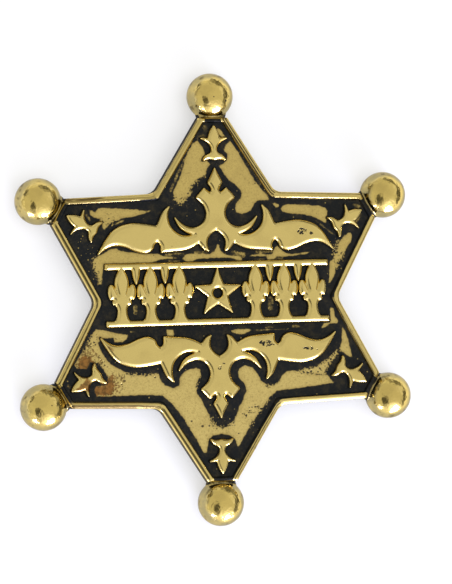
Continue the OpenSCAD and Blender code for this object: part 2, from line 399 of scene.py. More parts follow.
OUTLINE_STEP, STRETCH_TURN = 0.2, 30
WALL_TOP = BACK_Z + 1.2  # below it, a corner lies on the outer wall
END_BARE_W, END_FADE = 0.15, 0.06  # the end of a point is rubbed bare this far in
FULL_NECK = 0.9  # but not behind a neck with this much wash
outline = [spot for spot in along(star_ring(0), OUTLINE_STEP) if reach_of(spot) < POINT_REACH - 0.02]
sides = kdtree.KDTree(len(outline))
for i, spot in enumerate(outline):
    sides.insert((spot.x, spot.y, 0), i)
sides.balance()
WEAR = ("across", "reach", "stretch", "rubbed", "tarnished", "from_1", "dark_1", "from_2", "dark_2")
WAIST_LINE = WAIST_REACH * math.cos(HALF_STEP)
layers = [plate.verts.layers.float.new(name) for name in WEAR]
for vert in plate.verts:
    stretch = int(math.degrees(math.atan2(vert.co.y, vert.co.x)) % 360 // STRETCH_TURN)
    bare, at_waist, at_point, first, first_reflection_dark, second, second_reflection_dark = STRETCHES[stretch]
    across = sides.find((vert.co.x, vert.co.y, 0))[2] if vert.co.z > WALL_TOP else 0.0
    reach = reach_of(vert.co.xy)
    share = min(1, max(0, (reach - WAIST_LINE) / (POINT_REACH - WAIST_LINE)))
    tarnish = at_waist + (at_point - at_waist) * share * share * (3 - 2 * share)
    ended = min(1, max(0, (reach - POINT_REACH + END_BARE_W) / END_FADE))
    if NECK_WASH[stretch // 2] < FULL_NECK:
        bare += 3 * ended
    reflection_lines = (across - first, first_reflection_dark, across - second, second_reflection_dark)
    for layer, value in zip(layers, (across, reach, stretch, bare, tarnish) + reflection_lines):
        vert[layer] = value
print("samples along the outline:", len(outline))

# %% Gold of the rim
def rim_material():
    material = bpy.data.materials.new("rim_gold")
    paint = Paint(material)
    where = paint.place_mm()
    height = paint.part(where, "Z")
    grime = paint.noise(where, 1.1, 3.0)
    inner = (paint.attribute("across") - paint.attribute("rubbed") + (grime - 0.5) * 0.14).step(-0.03, 0.07)
    # painted shade: below the field's height the outer wall is darkened, partly wash and partly the shade
    # that falls on the wall
    side = 1 - (height + (grime - 0.5) * 0.5).step(FIELD_Z - 0.2, FIELD_Z + 0.3)
    blotches = paint.noise(where, 1.6, 3.0, 0.6).step(0.56, 0.7)
    blotches = blotches * paint.noise(where, 9.0, 1.0).step(0.45, 0.6)
    wander = (paint.noise(where, 2.0, 1.0) - 0.5) * 0.06
    # painted reflections and highlights: the dark lines along the rim stand for reflections of dark things
    # and sink a shallow groove in the bump, and lines below 0 are bare strips in the wash, put where
    # highlights run
    reflection_lines = [1 - (paint.attribute(f"from_{n}") + wander).unsigned().step(0.04, 0.16) for n in (1, 2)]
    first, second = (line * paint.attribute(f"dark_{n}") for n, line in enumerate(reflection_lines, 1))
    worn = paint.noise(where, 0.8, 3.0, 0.6).step(0.25, 0.6) * 0.4 + 0.6
    line = (first + second) * worn
    wash = inner.larger(side * (0.3 + grime * 0.7)).larger(blotches * 0.25)
    wash = (wash + line.larger(0) * 0.55 + line.smaller(0)).larger(0).smaller(1.0)
    tarnished = paint.attribute("tarnished")
    flow = paint.node("ShaderNodeCombineXYZ", None, [
        paint.attribute("across") * 5, paint.attribute("reach") * 0.4, paint.attribute("stretch") * 3.7])
    streaks = paint.noise(flow, 1.0, 3.0)
    band = paint.attribute("across").step(0.0, 0.15) * (1 - paint.attribute("across").step(0.48, 0.62))
    stain = ((tarnished * band * 1.6 + (streaks - 0.5) * 2.6 - 1.1).step(-0.05, 0.3) * 0.85).larger(line)
    # side also browns the outer wall and roughens its wash: painted shade
    dull = side * 0.55 + tarnished * 0.5 + streaks.step(0.45, 0.8) * 0.45
    dull = dull + paint.noise(where, 2.2).step(0.5, 0.9) * 0.2
    dents = paint.noise(where, 1.6, 2.0) * 0.02 - line * 0.02 + streaks * 0.004
    washed(paint, where, wash, dull.smaller(1.0), 0.12, dents, stain, stained=STREAK_BROWN, dry=side * 0.45)
    return material


place(plate, "plate_and_rim", rim_material())

# %% [markdown]
# ## The raised work
#
# The scrolls, the frieze and the fleurs stand on the field with flat tops. In CAD their edges are sharp. In
# the casting each edge is a soft shoulder, and corners are rounded from every side. A bevel fails on
# outlines as thin and curly as these. So the CAD star's top faces are copied, extruded into a closed block,
# remeshed into small voxels and smoothed, as sanding and polishing would do, and last the walls are leaned
# outward, because a casting needs draft to leave its mould.

# %% Copy the top faces of the CAD star, group by group
def cad_shape(node):
    """A merged copy of a CAD node in millimetres."""
    bm = bmesh.new()
    bm.from_mesh(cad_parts[node].data)
    bmesh.ops.scale(bm, vec=(1 / MM,) * 3, verts=bm.verts)
    bmesh.ops.remove_doubles(bm, verts=bm.verts, dist=0.001)
    return bm


def islands(faces):
    """Groups of faces that share edges."""
    left = set(faces)
    groups = []
    while left:
        group, queue = [], [left.pop()]
        while queue:
            face = queue.pop()
            group.append(face)
            for edge in face.edges:
                for other in edge.link_faces:
                    if other in left:
                        left.remove(other)
                        queue.append(other)
        groups.append(group)
    return groups


def is_top(face):
    return face.normal.z > 0.99 and abs(face.calc_center_median().z - TOP_Z) < 0.02


solid = cad_shape("star")
tops = [face for face in solid.faces if is_top(face)]
groups = islands(tops)
print("raised tops:", len(tops), "faces in", len(groups), "groups")

# %% Name the groups by where they lie
def middle_of(group):
    corners = np.array([v.co for f in group for v in f.verts])
    return (corners.min(0) + corners.max(0)) / 2, corners.max(0) - corners.min(0)


FRIEZE_HALF_H, FRIEZE_HALF_L, SCROLL_LEAST_L = 6, 20, 30
raised = {}
for group in groups:
    centre, size = middle_of(group)
    if abs(centre[1] - RELIEF_Y) + size[1] / 2 < FRIEZE_HALF_H and abs(centre[0]) < FRIEZE_HALF_L:
        name = "frieze"
    elif size[0] > SCROLL_LEAST_L:
        name = "upper_scroll" if centre[1] > 0 else "lower_scroll"
    else:
        sector = round((math.degrees(math.atan2(centre[1], centre[0])) - 90) / 60) % POINTS
        name = f"fleur_{sector + 1}"
    raised.setdefault(name, []).extend(group)
print({name: len(group) for name, group in raised.items()})

# %% Walls of the raised work, for the wash
WALL_STEP = 0.12
wall_points = []
for edge in solid.edges:
    if sum(is_top(face) for face in edge.link_faces) == 1:
        a, b = edge.verts[0].co, edge.verts[1].co
        n = max(1, int((b - a).length / WALL_STEP))
        wall_points += [a.lerp(b, s / n) for s in range(n + 1)]
print("samples along the walls of the raised work:", len(wall_points))

# %% Remesh into voxels and smooth
VOXEL = 0.09
SMOOTH_ROUNDS = max(4, round(1.1 / (VOXEL / 0.3) ** 2))


def softened(bm, voxel, rounds):
    """Remeshes a closed shape into small quads and smooths it."""
    mesh = bpy.data.meshes.new("rough")
    bm.to_mesh(mesh)
    bm.free()
    rough = bpy.data.objects.new("rough", mesh)
    bpy.context.scene.collection.objects.link(rough)
    remesh = rough.modifiers.new("voxels", "REMESH")
    remesh.mode = "VOXEL"
    remesh.voxel_size = voxel
    depsgraph = bpy.context.evaluated_depsgraph_get()
    fine = bmesh.new()
    fine.from_mesh(rough.evaluated_get(depsgraph).to_mesh())
    bpy.data.objects.remove(rough)
    bpy.data.meshes.remove(mesh)
    for _ in range(rounds):
        bmesh.ops.smooth_vert(
            fine, verts=fine.verts, factor=0.5, use_axis_x=True, use_axis_y=True, use_axis_z=True)
    return fine


print("voxels of", VOXEL, "mm, smoothed", SMOOTH_ROUNDS, "times")

# %% Round the shoulders
SHOULDER_W, SHOULDER_DROP = 0.66, 0.34
edges_of_tops = kdtree.KDTree(len(wall_points))
for i, p in enumerate(wall_points):
    edges_of_tops.insert((p.x, p.y, 0), i)
edges_of_tops.balance()


def shouldered(bm, width, drop):
    """Lets the flat top fall off in a soft curve towards its edge."""
    for vert in bm.verts:
        distance = edges_of_tops.find((vert.co.x, vert.co.y, 0))[2]
        fall = max(0.0, 1 - distance / width) ** 2 * drop
        vert.co.z -= fall * min(1.0, max(0.0, (vert.co.z - FIELD_Z) / (TOP_Z - FIELD_Z)))


print("shoulders:", SHOULDER_W, "mm wide and", SHOULDER_DROP, "mm deep")

# %% Make the block and lean its walls
DRAFT = math.tan(math.radians(13))
FLAT_H = 0.1  # height of the topmost part, which gets no draft
SUNK, BLOCK_SUNK = 0.25, 0.8  # how far a raised piece and its raw block reach below the field


def raised_shape(group, share):
    """A raised piece from its flat top: a softened block with leaning walls and a share of the shoulder."""
    keep = {f.index for f in group}
    bm = solid.copy()
    bm.faces.ensure_lookup_table()
    bmesh.ops.delete(bm, geom=[f for f in bm.faces if f.index not in keep], context="FACES")
    block = bmesh.ops.extrude_face_region(bm, geom=list(bm.faces), use_keep_orig=True)["geom"]
    low = [g for g in block if isinstance(g, bmesh.types.BMVert)]
    bmesh.ops.translate(bm, vec=(0, 0, FIELD_Z - TOP_Z - BLOCK_SUNK), verts=low)
    bmesh.ops.recalc_face_normals(bm, faces=bm.faces)
    bm = softened(bm, VOXEL, SMOOTH_ROUNDS)
    lift = TOP_Z - max(v.co.z for v in bm.verts)
    shouldered(bm, SHOULDER_W * share, SHOULDER_DROP * share)
    bm.normal_update()
    moves = [Vector((v.normal.x, v.normal.y, 0)) * max(0.0, TOP_Z - v.co.z - FLAT_H) * DRAFT
             for v in bm.verts]
    for vert, move in zip(bm.verts, moves):
        vert.co += move
        vert.co.z += lift
    cut = bmesh.ops.bisect_plane(
        bm, geom=bm.verts[:] + bm.edges[:] + bm.faces[:], plane_co=(0, 0, FIELD_Z - SUNK),
        plane_no=(0, 0, -1), clear_outer=True)["geom_cut"]
    bmesh.ops.holes_fill(bm, edges=[g for g in cut if isinstance(g, bmesh.types.BMEdge)])
    bm.normal_update()
    return bm


solid.faces.index_update()
print("the walls lean out", round(DRAFT, 3), "mm for each mm of height")

# %% [markdown]
# ## Wear on the raised work
#
# The tops are rubbed bright. Wash stays on the walls, up to the shoulder, and in a few pits that the
# casting left in the scrolls. Noise alone would scatter pits everywhere, so a short chart of ovals says
# where they lie, and noise only makes their edges ragged.

# %% Chart of pits in the raised tops
PITTED = [
    # x, y, half length, half width, turn
    (14.7, 11.1, 0.9, 0.75, 0), (16.2, 10.8, 0.5, 0.3, 0), (7.9, -7.5, 1.5, 0.6, -8),
    (15.2, -8.6, 1.2, 0.35, 0), (-0.2, -11.4, 0.4, 0.4, 0), (0.6, -10.6, 0.3, 0.3, 0)]


def inside(x, y, row):
    """1 in the middle of a chart's oval, falling to 0 at its edge."""
    cx, cy, long, short, turn = row[:5]
    a = math.radians(turn)
    u = ((x - cx) * math.cos(a) + (y - cy) * math.sin(a)) / long
    v = (-(x - cx) * math.sin(a) + (y - cy) * math.cos(a)) / short
    t = np.clip((1.35 - np.hypot(u, v)) / 0.7, 0, 1)
    return t * t * (3 - 2 * t)


def chart(bm, name, amount):
    """Stores amount(x, y), worked out for all corners at once, as an attribute."""
    spots = np.array([v.co for v in bm.verts])
    values = amount(spots[:, 0], spots[:, 1])
    layer = bm.verts.layers.float.new(name)
    for vert, value in zip(bm.verts, values):
        vert[layer] = float(value)
    return values


print("ovals with pits:", len(PITTED))

# %% Gold of the raised work
def relief_material():
    material = bpy.data.materials.new("raised_gold")
    paint = Paint(material)
    where = paint.place_mm()
    height = paint.part(where, "Z")
    patchy = paint.noise(where, 0.9, 3.0)
    low = 1 - (height + (patchy - 0.5) * 0.16).step(FIELD_Z + 0.42, FIELD_Z + 0.6)
    pits = (paint.attribute("pitted") + (paint.noise(where, 0.38, 2.0) - 0.5) * 2.4 - 0.8).step(0.0, 0.3)
    specks = paint.spots(where, 1.9, 0.25, 0.17)
    wash = low.larger(pits * 0.9).larger(specks * 0.9)
    dull = paint.noise(where, 4.0, 2.0).step(0.42, 0.85) * 0.35
    hollows = paint.noise(where, 2.6, 1.5) * 0.02 - (pits + specks) * 0.03
    stain = (paint.attribute("coppered") + (patchy - 0.5) * 1.4).step(-0.1, 0.25) * 0.85
    washed(paint, where, wash, dull, 0.15, hollows, stain)
    return material


# %% [markdown]
# ## The field
#
# The field is the sunk floor between the raised pieces. It is a fine grid, cut to the star, with a little
# thickness. What makes it look real is the wash: black along every wall and in the narrow places, and
# rubbed off where a cloth could reach. The rubbed places are charted as shapes, corner by corner, and the
# faint ones as strokes. Some strokes are thin lines put where highlights run: painted highlights. Each
# corner of the grid stores how far inside a rubbed place it lies, in millimetres, so the material can let
# the edge wander and fade.

# %% Chart of the rubbed places
RUBBED = [
    # the top point
    [(-2.7, 26.8), (-2.1, 26.0), (-1.6, 25.3), (-1.5, 24.6), (-1.5, 23.6), (-0.8, 23.1), (-0.6, 22.7),
     (-1.1, 22.1), (-1.3, 21.5), (-1.35, 20.8), (-2.6, 20.3), (-3.3, 19.6), (-4.0, 18.8), (-4.0, 17.7),
     (-4.6, 17.2), (-5.3, 16.2), (-6.2, 16.2), (-7.0, 16.9), (-7.1, 18.0), (-6.6, 19.3), (-5.7, 21.0),
     (-5.2, 22.5), (-4.8, 24.0), (-3.7, 26.1)],
    [(2.9, 26.7), (2.2, 26.0), (1.8, 25.2), (1.8, 24.9), (2.4, 24.3), (2.3, 23.4), (1.6, 22.8), (0.9, 22.4),
     (1.3, 21.6), (1.9, 20.8), (2.5, 20.0), (3.4, 19.3), (4.2, 18.5), (4.6, 17.8), (4.4, 16.9), (3.7, 16.2),
     (3.4, 15.4), (3.6, 14.6), (4.5, 14.3), (5.6, 14.5), (6.3, 15.0), (6.8, 16.0), (7.6, 16.5), (9.4, 16.5),
     (9.2, 17.0), (8.2, 18.3), (6.9, 20.0), (5.4, 22.7), (4.0, 25.1)],
    [(0.7, 28.9), (1.2, 28.6), (2.4, 27.2), (1.5, 27.1), (1.0, 27.8), (0.6, 28.5)],
    # the upper left point
    [(-21.4, 15.5), (-20.8, 15.4), (-20.3, 15.1), (-19.8, 15.8), (-17.5, 15.7), (-15.0, 15.6),
     (-12.5, 15.25), (-10.9, 15.15), (-11.4, 14.9), (-13.0, 14.4), (-14.5, 14.1), (-16.0, 13.9),
     (-17.2, 13.4), (-18.2, 12.8), (-18.9, 12.1), (-19.2, 12.5), (-19.2, 13.2), (-19.6, 13.95),
     (-20.4, 14.05), (-21.2, 14.5)],
    [(-21.0, 7.2), (-20.3, 7.9), (-19.5, 7.95), (-18.8, 8.45), (-17.8, 8.95), (-16.9, 8.95), (-16.2, 8.6),
     (-15.0, 8.3), (-13.0, 8.1), (-11.8, 7.95), (-10.0, 7.95), (-9.0, 7.5), (-7.0, 7.35), (-6.2, 7.2),
     (-7.0, 7.0), (-8.5, 7.0), (-9.8, 6.85), (-10.8, 6.5), (-12.0, 6.3), (-19.0, 6.2), (-19.4, 4.6),
     (-19.5, 3.0), (-20.0, 3.0), (-20.2, 4.0), (-20.7, 5.2), (-21.0, 6.2)],
    # between the upper scroll and the frieze
    [(-5.8, 7.2), (-5.0, 7.8), (-2.4, 7.8), (-1.0, 7.7), (-0.3, 8.2), (0.0, 8.7), (0.2, 9.4), (0.5, 9.2),
     (0.8, 8.3), (1.4, 7.6), (2.4, 7.4), (3.5, 7.3), (4.3, 6.9), (4.5, 6.4), (3.6, 6.6), (2.4, 6.9),
     (0.6, 7.0), (-1.0, 6.95), (-3.3, 6.85), (-3.9, 6.6), (-4.9, 6.3), (-5.5, 6.6)],
    [(5.7, 7.1), (6.1, 7.45), (7.5, 7.5), (9.6, 7.45), (10.2, 8.6), (10.8, 8.9), (11.2, 8.2), (12.0, 7.6),
     (13.0, 7.4), (14.5, 7.5), (16.2, 7.7), (16.0, 7.4), (14.5, 7.15), (13.0, 7.0), (12.0, 6.9),
     (10.4, 6.95), (10.0, 6.3), (8.9, 6.3), (8.5, 7.0), (7.0, 7.1)],
    # the upper right point
    [(11.3, 15.0), (11.7, 15.5), (12.4, 15.8), (14.0, 15.75), (16.0, 15.65), (18.0, 15.4), (19.0, 15.1),
     (19.4, 14.5), (19.4, 13.8), (19.2, 13.2), (19.1, 12.4), (18.4, 12.8), (17.2, 13.4), (15.5, 13.9),
     (13.5, 14.1), (12.2, 14.3), (11.5, 14.6)],
    [(9.9, 15.9), (10.3, 16.05), (11.0, 15.8), (11.1, 15.4), (10.5, 15.2), (10.2, 15.5)],
    [(22.8, 10.7), (23.4, 10.8), (23.7, 10.2), (23.4, 9.2), (22.8, 8.4), (22.3, 7.4), (22.0, 6.6),
     (21.4, 6.2), (20.9, 5.0), (20.6, 4.4), (20.2, 3.4), (19.6, 2.3), (19.2, 2.2), (19.4, 3.6), (19.5, 5.0),
     (19.6, 6.0), (20.2, 6.3), (20.3, 6.9), (19.6, 7.2), (20.3, 7.4), (21.0, 8.2), (21.3, 9.2),
     (21.8, 9.8)],
    # the lower left point, the bottom point and the lower right point, in one
    [(-20.8, -4.3), (-18.6, -4.7), (-17.5, -5.1), (-15.3, -5.4), (-15.6, -6.2), (-16.2, -6.7),
     (-17.7, -6.6), (-17.8, -5.9), (-19.6, -6.0), (-20.5, -6.6), (-20.0, -7.8), (-19.1, -9.4),
     (-18.0, -10.5), (-16.6, -11.2), (-15.6, -11.9), (-13.0, -12.2), (-10.4, -12.0), (-10.1, -13.0),
     (-9.3, -14.1), (-7.9, -14.5), (-7.0, -14.2), (-6.8, -12.8), (-6.2, -12.0), (-5.0, -11.4),
     (-3.9, -11.2), (-3.3, -11.6), (-3.2, -12.6), (-3.7, -13.5), (-4.0, -14.4), (-3.9, -15.6),
     (-3.2, -16.7), (-2.4, -18.2), (-1.8, -19.6), (-1.3, -20.6), (-0.6, -21.2), (0.2, -21.4), (1.2, -21.1),
     (2.2, -20.5), (2.7, -19.4), (3.2, -18.0), (3.9, -16.8), (4.5, -15.4), (4.2, -14.3), (3.4, -13.4),
     (3.1, -12.4), (3.4, -11.6), (4.5, -11.1), (5.7, -11.6), (6.6, -12.6), (7.1, -13.8), (8.2, -14.6),
     (9.4, -14.6), (10.3, -13.9), (10.8, -12.9), (11.6, -12.4), (13.5, -12.3), (15.2, -12.8), (16.5, -13.1),
     (18.6, -13.2), (19.2, -14.0), (19.8, -14.6), (17.0, -15.0), (14.5, -15.2), (12.0, -15.5), (9.7, -15.7),
     (8.6, -16.6), (7.6, -18.0), (6.1, -20.0), (4.7, -22.0), (3.9, -23.2), (3.2, -24.4), (2.8, -24.8),
     (2.6, -24.2), (2.3, -23.4), (1.2, -22.8), (0.0, -22.6), (-1.4, -22.8), (-2.2, -23.6), (-2.4, -24.6),
     (-2.5, -25.6), (-3.1, -25.6), (-3.7, -24.6), (-4.3, -23.2), (-5.2, -21.8), (-6.2, -20.0),
     (-7.5, -18.2), (-8.5, -17.0), (-9.8, -15.8), (-12.0, -15.6), (-21.0, -15.6), (-21.3, -14.6),
     (-21.0, -13.8), (-19.6, -13.7), (-19.1, -13.4), (-19.0, -12.4), (-19.6, -11.2), (-20.6, -10.1),
     (-21.8, -9.8), (-22.4, -10.9), (-24.2, -10.8), (-24.6, -10.2), (-23.4, -8.4), (-22.4, -6.8),
     (-21.4, -5.2)],
    [(16.9, -11.6), (17.6, -11.1), (18.8, -10.4), (19.8, -9.6), (20.5, -9.0), (20.6, -9.6), (20.0, -10.4),
     (19.2, -11.4), (18.6, -12.2), (18.4, -13.2), (16.2, -13.1), (13.7, -12.5), (14.5, -12.0),
     (15.8, -11.9)],
    [(21.4, -5.0), (22.0, -6.0), (22.6, -8.0), (23.1, -10.4), (22.6, -10.3), (21.8, -9.8), (20.7, -9.0),
     (21.0, -8.4), (21.3, -7.4), (21.3, -6.4)],
    # between the frieze and the lower scroll
    [(19.4, -1.8), (20.0, -2.0), (20.3, -3.4), (20.8, -4.2), (20.6, -4.6), (19.4, -4.6), (18.4, -5.2),
     (17.8, -5.3), (18.2, -4.5), (19.4, -4.3)],
    [(2.1, -5.2), (3.0, -5.0), (5.0, -5.0), (6.2, -5.2), (5.2, -5.6), (4.2, -5.95), (3.0, -5.9),
     (2.2, -5.5)],
    [(-8.9, -4.8), (-7.6, -4.8), (-7.5, -5.6), (-7.7, -6.0), (-8.8, -6.0)]]

# %% Chart of faint strokes and painted glint lines, speckle and copper stain
FAINT_STROKES_AND_GLINTS = [
    # x, y of both ends, half width
    # some strokes are thin dull lines put where highlights run, along the rim's foot and across the ends of
    # the top and bottom points: painted highlights
    (-3.7, 26.6, -5.6, 22.2, 0.13), (-5.7, 22.2, -7.5, 18.4, 0.2), (-1.3, 28.9, -1.2, 28.5, 0.4),
    (-2.6, 27.2, -1.6, 27.4, 0.35), (4.2, 25.4, 9.3, 17.2, 0.1), (-17.5, 12.8, -15.6, 13.6, 0.12),
    (-8.6, 7.9, -5.6, 7.75, 0.25), (-3.6, 8.0, -1.6, 7.9, 0.2), (2.9, 7.7, 4.6, 7.4, 0.45),
    (6.9, 7.85, 9.6, 7.85, 0.25), (10.1, 6.55, 11.4, 6.55, 0.18), (6.2, 6.6, 8.2, 6.6, 0.12),
    (-6.4, 6.6, -8.0, 6.65, 0.15), (24.2, 15.4, 25.0, 15.0, 0.3), (20.7, 8.0, 21.2, 9.4, 0.2),
    (25.1, 13.8, 24.2, 12.2, 0.25), (17.2, 13.0, 20.6, 10.3, 0.12), (12.9, -4.85, 13.9, -4.85, 0.2),
    (8.2, -4.9, 9.3, -4.9, 0.15), (5.6, -5.35, 12.0, -5.25, 0.1), (-14.9, -5.0, -14.2, -5.0, 0.12),
    (-10.5, -5.1, -10.5, -5.5, 0.12), (8.0, -15.6, 4.6, -20.6, 0.1), (-21.7, 14.6, -21.3, 13.8, 0.2),
    (1.2, -29.9, -1.2, -29.9, 0.1), (-0.9, 30.05, 1.3, 30.05, 0.08), (-25.6, -13.6, -24.9, -14.0, 0.3),
    (9.1, -1.6, 9.1, -0.2, 0.5), (-14.0, -1.8, -14.0, -0.8, 0.35)]
SPECKLED = [
    # x, y, half length, half width, turn
    (-22.4, 9.6, 3.4, 1.5, 117), (-20.7, 5.0, 2.4, 0.8, 105), (-5.6, 16.6, 2.2, 1.0, 0),
    (-3.0, 19.2, 2.2, 0.9, 40), (-13.5, -12.0, 3.0, 0.5, 0), (0, -20.4, 2.6, 1.4, 0),
    (16.6, -12.3, 3.4, 0.8, 8), (19.0, -11.0, 2.6, 1.0, 45), (21.2, 6.3, 1.8, 0.9, 69),
    (20.6, 8.4, 1.4, 0.6, 69), (-3.4, -13.8, 1.2, 0.5, 60), (8.4, -14.6, 1.8, 0.4, 20),
    (-18.2, 14.0, 1.4, 1.2, 0), (-22.0, -7.2, 2.2, 1.0, 62), (-17.4, -13.4, 1.6, 1.6, 0),
    (-20.4, -9.4, 1.8, 0.7, -45), (5.6, -21.6, 3.6, 0.7, -56), (6.2, -18.6, 1.6, 1.0, 0),
    (8.6, -17.4, 1.2, 0.5, 50)]
COPPERED = [
    [(-24.2, -9.9), (-22.8, -8.5), (-21.6, -8.8), (-21.4, -9.8), (-22.3, -11.0), (-24.0, -10.9)],
    [(-21.6, -13.7), (-19.6, -13.7), (-18.9, -12.6), (-18.7, -11.8), (-17.8, -12.4), (-17.9, -14.0),
     (-18.2, -15.3), (-21.3, -15.7), (-21.8, -14.8)],
    [(-25.0, -14.5), (-23.6, -13.1), (-22.6, -12.4), (-21.9, -13.2), (-22.2, -14.6)],
    [(-18.9, -7.3), (-18.0, -7.5), (-17.7, -8.1), (-18.3, -8.3)]]
for title, rows in (("rubbed", RUBBED), ("faint", FAINT_STROKES_AND_GLINTS), ("speckled", SPECKLED), ("coppered", COPPERED)):
    print(title, "places:", len(rows))

# %% Walls of the rim, for the wash
foot = star_ring(1.0)
for i, p in enumerate(foot):
    q = foot[(i + 1) % len(foot)]
    n = max(1, int((q - p).length / WALL_STEP))
    wall_points += [p.lerp(q, s / n).to_3d() for s in range(n)]
walls = kdtree.KDTree(len(wall_points))
for i, p in enumerate(wall_points):
    walls.insert((p.x, p.y, 0), i)
walls.balance()
print("samples along all walls:", len(wall_points))

# %% A grid, cut to the star
FIELD_CELL = 0.2
FIELD_CUT = 0.6  # the grid ends under the rim, this share of the rim's width from the outline
FIELD_T = 0.2


def cut_to_star(bm, share):
    """Leaves only the faces inside the outline moved in by a share of the rim."""
    outline = np.array([tuple(p) for p in star_ring(share)])
    spots = np.array([f.calc_center_median()[:2] for f in bm.faces])
    odd = np.zeros(len(spots), bool)
    for (x0, y0), (x1, y1) in zip(outline, np.roll(outline, -1, 0)):
        spans = (y0 > spots[:, 1]) != (y1 > spots[:, 1])
        with np.errstate(divide="ignore", invalid="ignore"):
            cross = (x1 - x0) * (spots[:, 1] - y0) / (y1 - y0) + x0
        odd ^= spans & (spots[:, 0] < cross)
    bmesh.ops.delete(bm, geom=[f for f, keep in zip(bm.faces, odd) if not keep], context="FACES")


def field_shape():
    bm = bmesh.new()
    steps = int(2 * POINT_REACH / FIELD_CELL)
    bmesh.ops.create_grid(bm, x_segments=steps, y_segments=steps, size=POINT_REACH)
    cut_to_star(bm, FIELD_CUT)
    bmesh.ops.translate(bm, vec=(0, 0, FIELD_Z), verts=bm.verts)
    return bm


field = field_shape()
print("field:", len(field.faces), "cells")

# %% Store the field's wear
WASHED_EDGE = 0.14  # wash lies at least this wide along each wall
FAINT_MOST = 0.03  # a faint stroke counts as no further inside than this
TINY = 1e-6  # keeps a division by zero away


def in_stroke(x, y, row):
    """How far inside a stroke with round ends a place lies, in millimetres."""
    x0, y0, x1, y1, half = row
    dx, dy = x1 - x0, y1 - y0
    share = np.clip(((x - x0) * dx + (y - y0) * dy) / (dx ** 2 + dy ** 2 + TINY), 0, 1)
    return half - np.hypot(x - x0 - share * dx, y - y0 - share * dy)


def in_shape(x, y, corners):
    """How far inside a closed shape a place lies, in millimetres, and less than 0 outside it."""
    off = np.full(len(x), 9.0)
    odd = np.zeros(len(x), bool)
    for (x0, y0), (x1, y1) in zip(corners, corners[1:] + corners[:1]):
        off = np.minimum(off, -in_stroke(x, y, (x0, y0, x1, y1, 0)))
        if y0 != y1:
            odd ^= ((y0 > y) != (y1 > y)) & (x < x0 + (y - y0) * (x1 - x0) / (y1 - y0))
    return np.where(odd, off, -off)


def bareness(x, y):
    """How far inside a rubbed place a spot lies, in millimetres, with wash kept along the walls."""
    distance = np.array([walls.find((a, b, 0))[2] for a, b in zip(x, y)])
    bare = np.max([in_shape(x, y, corners) for corners in RUBBED], axis=0)
    faint = np.max([in_stroke(x, y, row) for row in FAINT_STROKES_AND_GLINTS], axis=0)
    return np.minimum(np.maximum(bare, np.minimum(faint, FAINT_MOST)), distance - WASHED_EDGE)


def copper_depth(x, y):
    """How far inside the copper stain a place lies, in millimetres."""
    return np.max([in_shape(x, y, corners) for corners in COPPERED], axis=0)


bare_values = chart(field, "bare", bareness)
chart(field, "speckled", lambda x, y: np.clip(sum(inside(x, y, row) for row in SPECKLED), 0, 1))
chart(field, "coppered", copper_depth)
print("field: bare share", round(float((bare_values > 0).mean()), 2))

# %% Give the field its thickness
border = [edge for edge in field.edges if edge.is_boundary]
low = bmesh.ops.extrude_edge_only(field, edges=border)["geom"]
bmesh.ops.translate(field, vec=(0, 0, -FIELD_T), verts=[g for g in low if isinstance(g, bmesh.types.BMVert)])
bmesh.ops.holes_fill(field, edges=[g for g in low if isinstance(g, bmesh.types.BMEdge)])
bmesh.ops.recalc_face_normals(field, faces=field.faces)
print("field:", len(field.faces), "faces")

# %% Wash, speckle and copper stain of the field
def field_material():
    material = bpy.data.materials.new("field_wash")
    paint = Paint(material)
    where = paint.place_mm()
    bare, speckled, coppered = (paint.attribute(n) for n in ("bare", "speckled", "coppered"))
    ragged = paint.noise(where, 1.0, 4.0, 0.6)
    grain = paint.noise(where, 0.34, 3.0, 0.65)
    edge = bare + (ragged - 0.5) * 0.45 + (grain - 0.5) * (0.3 + speckled * 2.4)
    dark_spots = paint.spots(where, 0.5, 0.5, 0.17) * speckled + paint.spots(where, 1.5, 0.35, 0.2) * 0.8
    near_copper = (coppered + (ragged - 0.5) * 3.0).step(-3.2, -0.4)
    glints = paint.spots(where, 0.8, 0.2, 0.11) * 0.75 + paint.spots(where, 0.4, 0.4, 0.1) * speckled * 0.8
    peppered = paint.noise(where, 0.42, 3.0, 0.6) + speckled * 0.13 + near_copper * 0.09
    peppered = (peppered - 0.7).step(0.0, 0.08)
    gold = (edge.step(-0.1, 0.16) - (dark_spots * 0.8).larger(peppered * 0.6)).larger(glints)
    browned = near_copper * (1 - gold)
    gold = gold.larger(near_copper * bare.step(0.1, 0.3) * 0.8)
    wash = 1 - gold
    mottled = paint.noise(where, 2.4).step(0.4, 0.8) * 0.3
    mottled = mottled + paint.noise(where, 0.55, 4.0, 0.7).step(0.48, 0.72) * 0.4
    mottled = mottled + grain.step(0.45, 0.7) * 0.55
    dull = (mottled + (1 - edge.step(0.05, 0.6)) * 0.4).smaller(1.0)
    stain = (coppered + (ragged - 0.5) * 1.5 + (grain - 0.5) * 2.4).step(-0.2, 0.2) * 0.9
    stain = stain.larger(browned)
    height = grain * 0.03 + ragged * 0.03 - dark_spots * 0.04
    # painted light: the field's gold is paler towards the bottom, where the low lamps stand, and deeper
    # towards the top
    field_gold_with_painted_light = paint.mix(paint.part(where, "Y").step(-24, 10), FIELD_PALE, FIELD_GOLD)
    washed(paint, where, wash, dull, 0.22, height, stain, gold=field_gold_with_painted_light)
    return material


place(field, "field", field_material())

# %% [markdown]
# ## Setting the raised pieces on the field
#
# On the casting the raised work and the field are one piece of metal. Here each raised piece has a mesh of
# its own, a quarter of a millimetre deeper than the field, so no gap shows. They could be joined with
# booleans, but these would tear the fine voxels along each wall. The copper stain of the lower left point
# runs over the field and the fleur alike, so both take it from the same chart. The small fleurs get a
# narrower shoulder than the scrolls.

